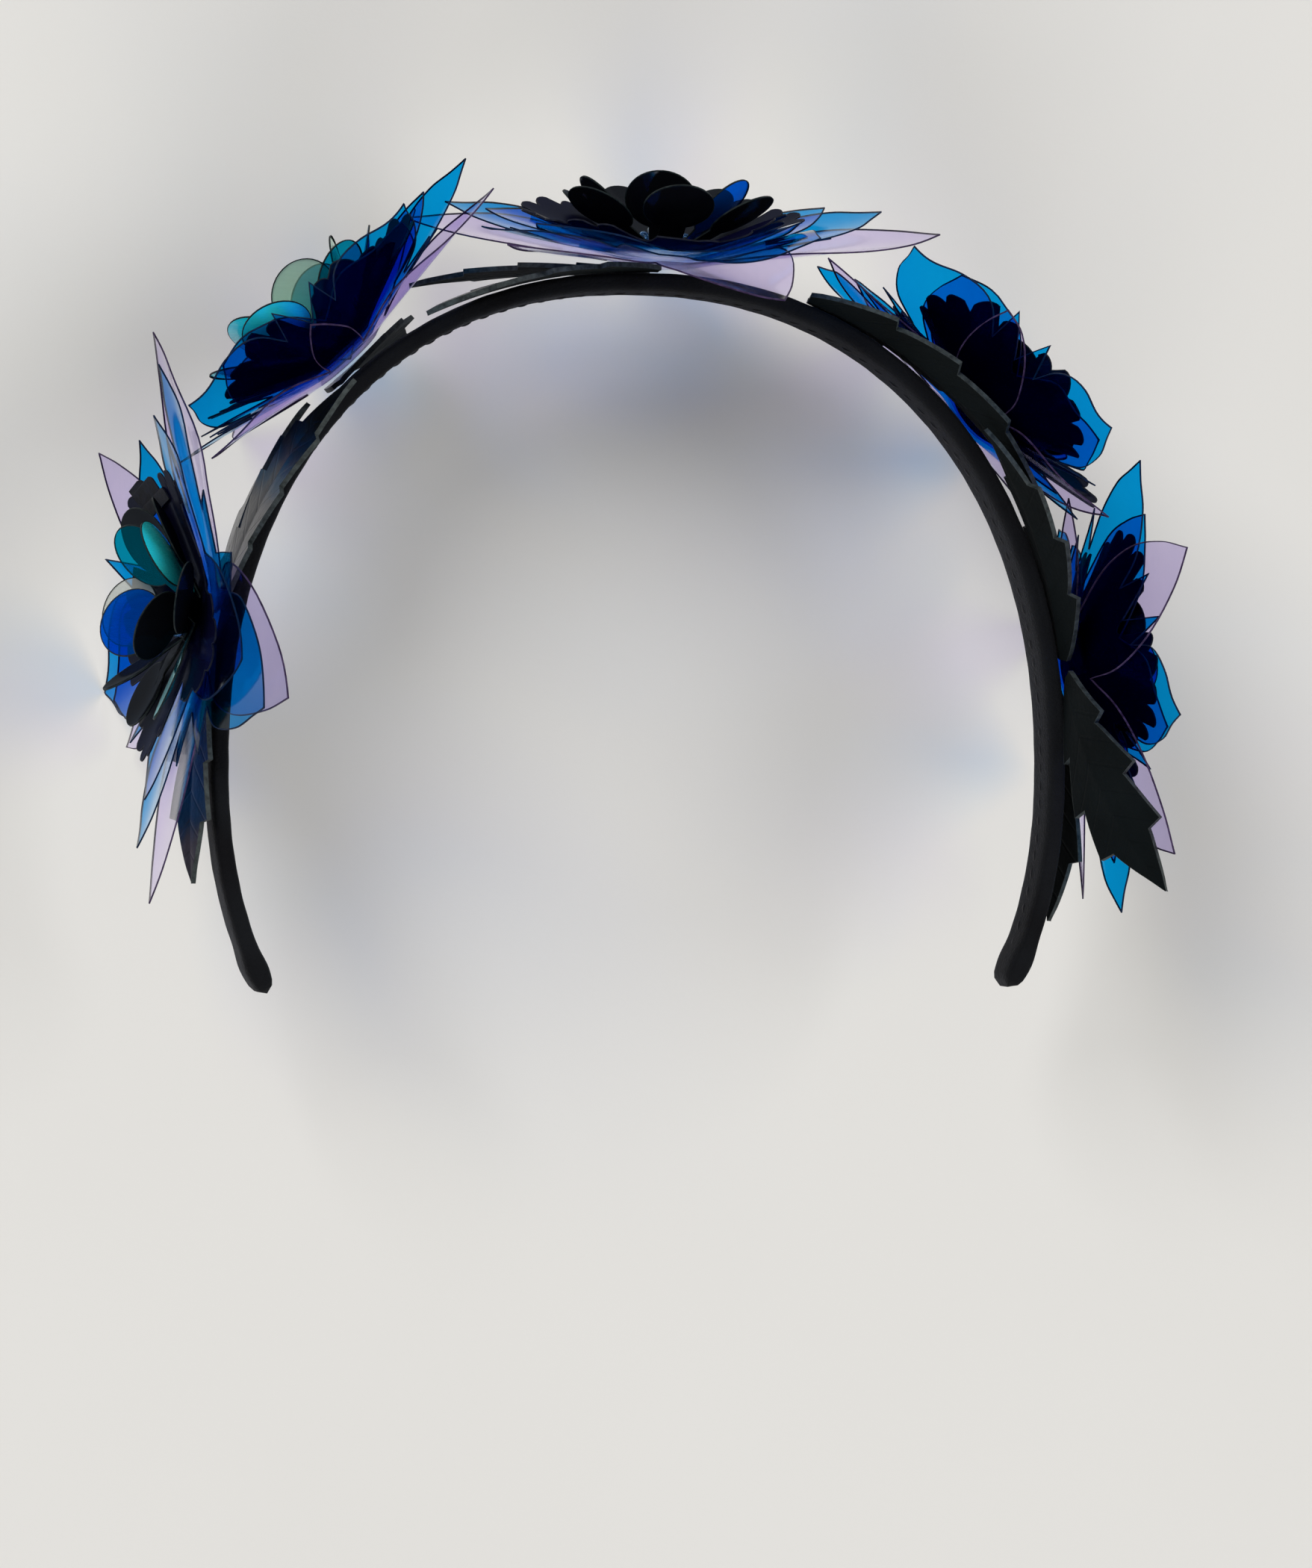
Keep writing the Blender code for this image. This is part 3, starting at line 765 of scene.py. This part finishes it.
def scallop_path(petals):
    """Fine outline of the black layer: five petals, each ending in round lobes."""
    path = []
    count = len(petals)
    half_span = 180 / count
    for azimuth, _ in sorted((azimuth % 360, length) for azimuth, length in petals):
        half_lobe = SCALLOP_SPREAD / SCALLOP_LOBES
        for lobe in range(SCALLOP_LOBES):
            across = (lobe - (SCALLOP_LOBES - 1) / 2) / (SCALLOP_LOBES / 2)
            reach = SCALLOP_REACH * (1 - SCALLOP_ROUNDING * across**2)
            for step in range(LOBE_STEPS):
                x = -1 + 2 * step / LOBE_STEPS
                depth = SCALLOP_LOBE_DEPTH * (1 - math.sqrt(max(0.0, 1 - x * x)))
                aside = across * SCALLOP_SPREAD + x * half_lobe
                path.append((polar(reach * (1 - depth), azimuth + aside), azimuth, half_span))
        start = azimuth + SCALLOP_SPREAD
        finish = azimuth + 2 * half_span - SCALLOP_SPREAD
        for step in range(LOBE_STEPS + 1):
            share = step / LOBE_STEPS
            dip = math.sin(math.pi * share) ** SCALLOP_DIP
            side = SCALLOP_REACH * (1 - SCALLOP_ROUNDING * SCALLOP_SIDE) * (1 - SCALLOP_LOBE_DEPTH)
            along = side + (SCALLOP_REACH * SCALLOP_GAP - side) * dip
            owner = azimuth if share <= 0.5 else azimuth + 2 * half_span
            path.append((polar(along, start + (finish - start) * share), owner, half_span))
    return path


def flower_frame(row):
    """Hub centre of a flower and its front, along and outward directions."""
    front, along, outward = arch_frame(row["turn"])
    lean = math.radians(row["lean"])
    raised = BAND_WIDTH / 2 * abs(math.sin(lean))
    origin = arch_point(row["turn"]) + outward * (BAND_THICKNESS / 2 + raised)
    forward, tipped = turned(front, outward, lean)
    return origin, forward, along, tipped


def flower_point(flower, azimuth, reach, height, lift):
    """A point of a layer: flat inside the hub, then straight out at this lift."""
    origin, front, along, outward = flower
    angle, rise = math.radians(azimuth), math.radians(lift)
    beyond = max(reach - HUB_RADIUS, 0.0)
    away = min(reach, HUB_RADIUS) + beyond * math.cos(rise)
    place = origin + front * (away * math.cos(angle)) + along * (away * math.sin(angle))
    return place + outward * (height + beyond * math.sin(rise))


def inset(path, width):
    """The same outline drawn in by a width, without crossing each petal's axis."""
    inner = []
    count = len(path)
    for index, (point, axis, _) in enumerate(path):
        before, after = path[index - 1][0], path[(index + 1) % count][0]
        first, second = (point - before).normalized(), (after - point).normalized()
        left = Vector((-first.y - second.y, first.x + second.x))
        if left.length < TINY:
            left = -point
        left.normalize()
        spread = max(left.dot(Vector((-first.y, first.x))), INSET_LIMIT)
        moved = point + left * (width / spread)
        if wrapped(bearing(point) - axis) * wrapped(bearing(moved) - axis) < 0:
            moved = polar(min(moved.length, point.length - 2 * width), axis)
        inner.append(moved)
    return inner


def layer_piece(name, node, materials, flower, path, row, extra, height):
    """A cut film layer: a flat hub, lifted petals that are slightly dished, and a dark cut edge."""
    lifts = row["lift"]
    inner = inset(path, EDGE_LINE)
    count = len(path)
    outward = flower[3]
    bow_phase = math.radians(row["turn"] * BOW_PHASE)
    lowest = REST_DEPTH - FILM_DRAWN / 2

    def surface(azimuth, reach, axis):
        """A point of the layer, cupped across its petal and bowed along it."""
        place = flower_point(flower, azimuth, reach, height, lift_at(lifts, azimuth) + extra)
        aside = reach * math.sin(math.radians(wrapped(azimuth - axis)))
        shaped = max(reach - HUB_RADIUS, 0.0) / BOW_SPAN
        cup = CUP_LIMIT * math.tanh(aside * aside / (2 * CUP_RADIUS) / CUP_LIMIT) * min(shaped * 2, 1.0)
        bow = BOW * 4 * shaped * (1 - shaped) * math.sin(2 * math.radians(azimuth) + bow_phase)
        return place + outward * (cup + bow)

    def kept(place, root):
        """The place, drawn back towards the petal's root where it would go below the rest plane."""
        if place.z >= -lowest:
            return place
        return root.lerp(place, (root.z + lowest) / (root.z - place.z))

    points = [flower_point(flower, 0.0, 0.0, height, 0.0)]
    azimuths, last = [], None
    for moved in inner:
        azimuth = bearing(moved)
        if last is not None:
            azimuth = last + max(wrapped(azimuth - last), LEAST_TURN)
        azimuths.append(azimuth)
        last = azimuth
    rings = 2 + RAY_STEPS
    for azimuth, moved, (point, axis, _) in zip(azimuths, inner, path):
        reach = max(moved.length, HUB_RADIUS + SHORTEST_PETAL)
        root = flower_point(flower, azimuth, HUB_RADIUS, height, 0.0)
        points.append(flower_point(flower, azimuth, HUB_RADIUS / 2, height, 0.0))
        points.append(root)
        for step in range(1, RAY_STEPS):
            along_ray = HUB_RADIUS + (reach - HUB_RADIUS) * step / (RAY_STEPS - 1)
            points.append(kept(surface(azimuth, along_ray, axis), root))
        points.append(kept(surface(bearing(point), point.length, axis), root))
    faces, shades = [], []
    for index in range(count):
        here, there = 1 + index * rings, 1 + (index + 1) % count * rings
        faces.append((0, here, there))
        shades.append(0)
        for ring in range(rings - 1):
            faces.append((here + ring, here + ring + 1, there + ring + 1, there + ring))
            shades.append(1 if ring == rings - 2 else 0)
    backs = {0: 2} if len(materials) == 3 else {}
    points, faces, shades = thicken(points, faces, shades, FILM_DRAWN, backs, 1)
    return add_piece(name, points, faces, shades, materials, node)


def discs_piece(name, node, flower, tier, row, least, start, share, height, films):
    """A tier of round dished discs on short necks, each with its own film."""
    _, count, centre, radius, turn, clear = tier
    origin, front, along, outward = flower
    middle_reach = centre * share - DISC_HUB_RADIUS
    neck = math.asin(DISC_NECK / radius)
    names = sorted(set(films))
    materials = [DISC_MATERIALS[film] for film in names] + [DISC_EDGE, CLEAR_SIDE]
    rim = len(names)
    backs = {index: rim + 1 for index, film in enumerate(names) if film not in OPAQUE_DISCS}
    points, faces, shades, hub = [], [], [], []
    for disc in range(count):
        heading = start + turn + 360 * disc / count
        beside = (heading - DISC_HALF_ANGLE, heading, heading + DISC_HALF_ANGLE)
        under = max(lift_at(row["lift"], azimuth) for azimuth in beside) + SCALLOP_EXTRA_LIFT
        rise = math.radians(max(least, under + clear))
        axis, side = turned(front, along, math.radians(heading))
        base = origin + outward * height + axis * DISC_HUB_RADIUS
        climb, inward = turned(axis, outward, rise)
        border = [Vector((0.0, -DISC_NECK)), Vector((0.0, DISC_NECK))]
        for step in range(DISC_SIDES):
            angle = neck + (2 * math.pi - 2 * neck) * step / (DISC_SIDES - 1)
            border.append(Vector((middle_reach - radius * math.cos(angle), radius * math.sin(angle))))
        middle = Vector((middle_reach, 0.0))
        first = len(points)
        shade = names.index(films[disc % len(films)])
        line = 1 - EDGE_LINE / radius
        shares = [ring / DISC_RINGS * line for ring in range(1, DISC_RINGS + 1)] + [1.0]
        points.append(base + climb * middle_reach - inward * DISC_DISH)
        for part in shares:
            for mark in border:
                place = middle.lerp(mark, part)
                away = min((place - middle).length / radius, 1.0)
                dish = DISC_DISH * (1 - away * away) * min(max(place.x, 0.0) / DISC_DISH_FROM, 1.0)
                points.append(base + climb * place.x + side * place.y - inward * dish)
        sides = len(border)
        for index in range(sides):
            there = (index + 1) % sides
            faces.append((first, first + 1 + there, first + 1 + index))
            shades.append(shade)
            for ring in range(len(shares) - 1):
                low, high = first + 1 + ring * sides, first + 1 + (ring + 1) * sides
                faces.append((low + index, low + there, high + there, high + index))
                neck_side = index == 0
                shades.append(rim if ring == len(shares) - 2 and not neck_side else shade)
        outer = first + 1 + (len(shares) - 1) * sides
        hub.extend((outer, outer + 1))
    centre_point = len(points)
    points.append(origin + outward * height)
    hub_shade = names.index("black") if "black" in names else rim - 1
    for index in range(len(hub)):
        faces.append((centre_point, hub[index], hub[(index + 1) % len(hub)]))
        shades.append(hub_shade)
    points, faces, shades = thicken(points, faces, shades, FILM_DRAWN, backs, rim)
    return add_piece(name, points, faces, shades, materials, node)


def beads_piece(name, flower, height):
    """A ring of small drilled glass beads round the crystal."""
    origin, front, along, outward = flower
    points, faces = [], []
    for bead in range(BEADS):
        axis, side = turned(front, along, 2 * math.pi * (bead + 0.5) / BEADS)
        centre = origin + outward * (height + BEAD_RADIUS) + axis * BEAD_RING
        tube = (BEAD_RADIUS - BEAD_HOLE) / 2
        first = len(points)
        for turn in range(BEAD_SIDES):
            around = 2 * math.pi * turn / BEAD_SIDES
            for step in range(BEAD_STEPS):
                bend = 2 * math.pi * step / BEAD_STEPS
                reach = BEAD_HOLE + tube + tube * math.cos(bend)
                place = axis * (reach * math.cos(around)) + outward * (reach * math.sin(around))
                points.append(centre + place + side * (tube * BEAD_LENGTH * math.sin(bend)))
        for turn in range(BEAD_SIDES):
            for step in range(BEAD_STEPS):
                here = first + turn * BEAD_STEPS
                there = first + (turn + 1) % BEAD_SIDES * BEAD_STEPS
                following = (step + 1) % BEAD_STEPS
                faces.append((here + step, here + following, there + following, there + step))
    return add_piece(name, points, faces, [0] * len(faces), [BEAD])


def flower_pieces(name, row):
    """All the drawn pieces of one flower, in place of its solids."""
    flower = flower_frame(row)
    step = FILM + LAYER_CLEARANCE
    height = CLEARANCE + LEATHER + CLEARANCE + FILM / 2
    # Flowers in less light get the film copies with painted shade.
    lilac, blue = (DIM_LILAC, DIM_BLUE) if name in DIM_FLOWERS else (LILAC, BLUE)
    lilac_side, blue_side = (lilac, LILAC_EDGE, CLEAR_SIDE), (blue, BLUE_EDGE, CLEAR_SIDE)
    black_side = (SCALLOP, SCALLOP_EDGE)
    lilac_path = smooth_path(petal_rows(row["lilac"], LILAC_CUT))
    blue_path = smooth_path(petal_rows(row["blue"], BLUE_CUT))
    inner_path = smooth_path(petal_rows(row["blue"], INNER_BLUE_CUT, INNER_BLUE_SHARE, INNER_BLUE_TURN))
    layers = (
        ("lilac_petals", "lilac_film", lilac_side, lilac_path, 0.0),
        ("blue_petals", "blue_film", blue_side, blue_path, BLUE_EXTRA_LIFT),
        ("inner_blue_petals", "blue_film", blue_side, inner_path, INNER_EXTRA_LIFT),
        ("scalloped_petals", "scallop_film", black_side, scallop_path(row["blue"]), SCALLOP_EXTRA_LIFT),
    )
    for part, slot, materials, path, extra in layers:
        node = f"{name}_{part}"
        layer_piece(f"{node}_cut", node, materials, flower, path, row, extra, height)
        height += step
    *rises, start, share = row["discs"]
    for tier, least, films in zip(DISC_TIERS, rises, DISC_FILMS[name]):
        node = f"{name}_{tier[0]}"
        discs_piece(f"{node}_cut", node, flower, tier, row, least, start, share, height, films.split())
        height += step
    beads_piece(f"{name}_beads", flower, height - step + FILM / 2)
    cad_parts[f"{name}_crystal"].material_slots[0].material = STONE


def leaf_width(reach):
    """Share of a leaf's half width here: rounded out to each tooth, then cut back."""
    for (start, low), (end, high) in zip(LEAF_CUT, LEAF_CUT[1:]):
        if start <= reach <= end:
            share = (reach - start) / (end - start)
            if high < low and end < 1:
                return low + (high - low) * share
            return low + (high - low) * share ** (LEAF_SWELL if high > low else LEAF_TAPER)
    return 0.0


def leaf_piece(row):
    """A toothed leather leaf with a paler cut edge, a midrib and a slight dish to each half."""
    name, turn, forward, heading, lift, twist, front_rise, bend, length, half_width = row
    front, along, outward = arch_frame(turn)
    height = CLEARANCE + LEATHER / 2
    origin = arch_point(turn) + outward * (BAND_THICKNESS / 2 + height) + front * forward
    axis, side = turned(front, along, math.radians(heading))
    forward_side = math.copysign(1.0, side.dot(front))
    reaches = []
    for (start, _), (end, _) in zip(LEAF_CUT, LEAF_CUT[1:]):
        steps = LEAF_STEPS if end - start > LEAF_NOTCH else 2
        reaches.extend(start + (end - start) * step / steps for step in range(steps))
    reaches.append(1.0)
    points, uvs = [], []
    for reach in reaches:
        run = reach * length
        curl = math.radians(bend) * reach
        mean = math.radians(lift) - curl / 2
        middle = origin + axis * (run * math.cos(mean)) + outward * (run * math.sin(mean))
        width = max(leaf_width(reach) * half_width, LEAF_TIP)
        inner = max(1 - LEAF_EDGE / width, LEAF_LEAST_INNER)
        marks = [mark * inner for mark in LEAF_COLUMNS] + [inner, 1.0]
        marks = [-mark for mark in marks[:0:-1]] + marks
        for mark in marks:
            sign = -1.0 if mark < 0 else 1.0
            fold = front_rise if sign == forward_side else 0.0
            tilt = math.radians(twist * reach + sign * fold)
            across = side * math.cos(tilt) + outward * math.sin(tilt)
            aside = mark * width
            groove = -MIDRIB_DEPTH * math.exp(-((aside / MIDRIB_WIDTH) ** 2))
            dish = LEAF_DISH * (abs(aside) / half_width) ** 2 * math.sin(math.pi * min(reach, 1.0))
            points.append(middle + across * aside + outward * (groove + dish))
            uvs.append((reach, aside / half_width))
    wide = len(marks)
    faces, shades = [], []
    for station in range(len(reaches) - 1):
        for column in range(wide - 1):
            start = station * wide + column
            faces.append((start, start + 1, start + wide + 1, start + wide))
            shades.append(2 if column in (0, wide - 2) else 0)
    top = (points[1] - points[0]).cross(points[wide] - points[0]).dot(outward)
    points, faces, shades = thicken(points, faces, shades, LEATHER, {0: 1}, 2)
    materials = (LEAF_TOP, LEAF_UNDER, LEAF_RIM) if top > 0 else (LEAF_UNDER, LEAF_TOP, LEAF_RIM)
    return add_piece(f"{name}_cut", points, faces, shades, materials, name, uvs + uvs)


def band_piece():
    """The covered band: a soft rounded strip, swollen a little where the cover is folded in."""
    turns = [-ARCH_END_TURN + 2 * ARCH_END_TURN * step / BAND_SAMPLES for step in range(BAND_SAMPLES + 1)]
    places = [arch_point(turn) for turn in turns]
    runs = [0.0]
    for here, there in zip(places, places[1:]):
        runs.append(runs[-1] + (there - here).length)
    total = runs[-1]
    points = []
    cursor = 0
    for station in range(BAND_STATIONS):
        share = station / (BAND_STATIONS - 1)
        eased = 0.5 - 0.5 * math.cos(math.pi * share)
        run = total * (share * BAND_EVEN + eased * (1 - BAND_EVEN))
        while cursor < BAND_SAMPLES - 1 and runs[cursor + 1] < run:
            cursor += 1
        part = (run - runs[cursor]) / (runs[cursor + 1] - runs[cursor])
        turn = turns[cursor] + (turns[cursor + 1] - turns[cursor]) * part
        front, _, outward = arch_frame(turn)
        middle = arch_point(turn)
        from_end = min(run, total - run)
        into = min(from_end / BAND_END_LENGTH, 1.0)
        rounding = 1.0 - math.sqrt(max(0.0, 1.0 - (1.0 - into) ** 2))
        half_wide = BAND_WIDTH / 2 * (1.0 - (1.0 - BAND_END_SHARE) * rounding)
        swell = BAND_TIP_SWELL * math.exp(-(((from_end - BAND_TIP_AT) / BAND_TIP_SPREAD) ** 2))
        cap = math.sqrt(max(0.0, 1 - (1 - min(from_end / BAND_CAP, 1.0)) ** 2))
        half_thick = (BAND_THICKNESS / 2 + swell) * max(cap, BAND_LEAST)
        half_wide *= BAND_CAP_WIDTH + (1 - BAND_CAP_WIDTH) * cap
        for step in range(BAND_SECTION):
            angle = 2 * math.pi * step / BAND_SECTION
            c, s = math.cos(angle), math.sin(angle)
            size = (abs(c) ** BAND_SQUARE + abs(s) ** BAND_SQUARE) ** (-1 / BAND_SQUARE)
            ripple = WRINKLE * math.sin(run * WRINKLE_FINE + 2 * c) * math.sin(run * WRINKLE_LONG + 3 * s)
            place = front * (half_wide * size * c) + outward * ((half_thick + ripple) * size * s)
            points.append(middle + place)
    faces = []
    for station in range(BAND_STATIONS - 1):
        here, there = station * BAND_SECTION, (station + 1) * BAND_SECTION
        for step in range(BAND_SECTION):
            after = (step + 1) % BAND_SECTION
            faces.append((here + step, there + step, there + after, here + after))
    last = (BAND_STATIONS - 1) * BAND_SECTION
    faces.append(tuple(range(BAND_SECTION)))
    faces.append(tuple(range(last + BAND_SECTION - 1, last - 1, -1)))
    return add_piece("band_cover", points, faces, [0] * len(faces), [VELVET], "band")


def stitches_piece():
    """The closing seam along the inner face: a row of short slanted stitches."""
    points, faces = [], []
    length = 2 * ARCH_END_TURN * ARCH_HALF_WIDTH * math.pi / 180
    count = int(length / STITCH_PITCH)
    reach = ARCH_END_TURN - STITCH_MARGIN
    for stitch in range(count):
        turn = -reach + 2 * reach * stitch / (count - 1)
        front, along, outward = arch_frame(turn)
        surface = arch_point(turn) - outward * (BAND_THICKNESS / 2 - STITCH_SUNK)
        axis, side = turned(along, front, math.radians(STITCH_SLANT))
        first = len(points)
        for ring in range(STITCH_RINGS):
            place = -1 + 2 * ring / (STITCH_RINGS - 1)
            girth = STITCH_RADIUS * math.sqrt(max(STITCH_BLUNT, 1 - place * place))
            arched = STITCH_ARCH * (1 - place * place)
            for step in range(STITCH_SIDES):
                angle = 2 * math.pi * step / STITCH_SIDES
                ring_place = side * (girth * math.cos(angle)) - outward * (girth * math.sin(angle) + arched)
                points.append(surface + axis * (place * STITCH_LENGTH / 2) + ring_place)
        for ring in range(STITCH_RINGS - 1):
            for step in range(STITCH_SIDES):
                after = (step + 1) % STITCH_SIDES
                low, high = first + ring * STITCH_SIDES, first + (ring + 1) * STITCH_SIDES
                faces.append((low + step, low + after, high + after, high + step))
        faces.append(tuple(first + step for step in reversed(range(STITCH_SIDES))))
        last = first + (STITCH_RINGS - 1) * STITCH_SIDES
        faces.append(tuple(last + step for step in range(STITCH_SIDES)))
    return add_piece("band_seam_stitches", points, faces, [0] * len(faces), [THREAD])


def add_camera():
    """The camera at the photo's angle."""
    yaw = math.radians(VIEW_YAW)
    forward = Vector((math.sin(yaw), 0.0, -math.cos(yaw)))
    right = Vector((math.cos(yaw), 0.0, math.sin(yaw)))
    place = Vector((0.0, -VIEW_BELOW, 0.0)) - forward * VIEW_DISTANCE + right * VIEW_ASIDE
    data = bpy.data.cameras.new("photo_camera")
    data.lens = LENS
    data.sensor_width = SENSOR
    data.clip_start, data.clip_end = NEAREST, FARTHEST
    camera = add_object("photo_camera", data)
    camera.location = (place + SHIFT) * MM
    camera.rotation_mode = "QUATERNION"
    axes = Matrix((right, Vector((0.0, 1.0, 0.0)), -forward)).transposed()
    camera.rotation_quaternion = axes.to_quaternion()
    bpy.context.scene.camera = camera


def add_stage():
    """Pale floor, soft room light that is dimmer overhead, and three soft lamps."""
    half = FLOOR_SIZE / 2
    mesh = bpy.data.meshes.new("floor")
    corners = [(-half, -half, 0.0), (half, -half, 0.0), (half, half, 0.0), (-half, half, 0.0)]
    mesh.from_pydata(corners, [], [(0, 1, 2, 3)])
    mesh.materials.append(floor_material())
    floor = add_object("floor", mesh)
    world = bpy.data.worlds.new("soft_room")
    world.use_nodes = True
    nodes, links = world.node_tree.nodes, world.node_tree.links
    background = nodes["Background"]
    background.inputs["Color"].default_value = WORLD_COLOUR
    upward = nodes.new("ShaderNodeSeparateXYZ")
    links.new(nodes.new("ShaderNodeTexCoord").outputs["Generated"], upward.inputs["Vector"])
    height = nodes.new("ShaderNodeMapRange")
    height.interpolation_type = "SMOOTHSTEP"
    limits = (*WORLD_TURN, WORLD_LOW, WORLD_OVERHEAD)
    for name, value in zip(("From Min", "From Max", "To Min", "To Max"), limits):
        height.inputs[name].default_value = value
    links.new(upward.outputs["Z"], height.inputs["Value"])
    links.new(height.outputs["Result"], background.inputs["Strength"])
    bpy.context.scene.world = world
    for name, place, size, watts in LIGHTS:
        data = bpy.data.lights.new(name, "AREA")
        data.shape = "DISK"
        data.size = size
        data.energy = watts
        light = add_object(name, data)
        light.location = place
        light.rotation_mode = "QUATERNION"
        light.rotation_quaternion = (-Vector(place)).to_track_quat("-Z", "Y")


add_camera()
add_stage()
band_piece()
stitches_piece()
for leaf in LEAVES:
    leaf_piece(leaf)
for flower_name, flower_row in FLOWERS.items():
    flower_pieces(flower_name, flower_row)

scene = bpy.context.scene
scene.view_settings.view_transform = "Standard"
scene.cycles.transparent_max_bounces = 40

bpy.context.view_layer.update()
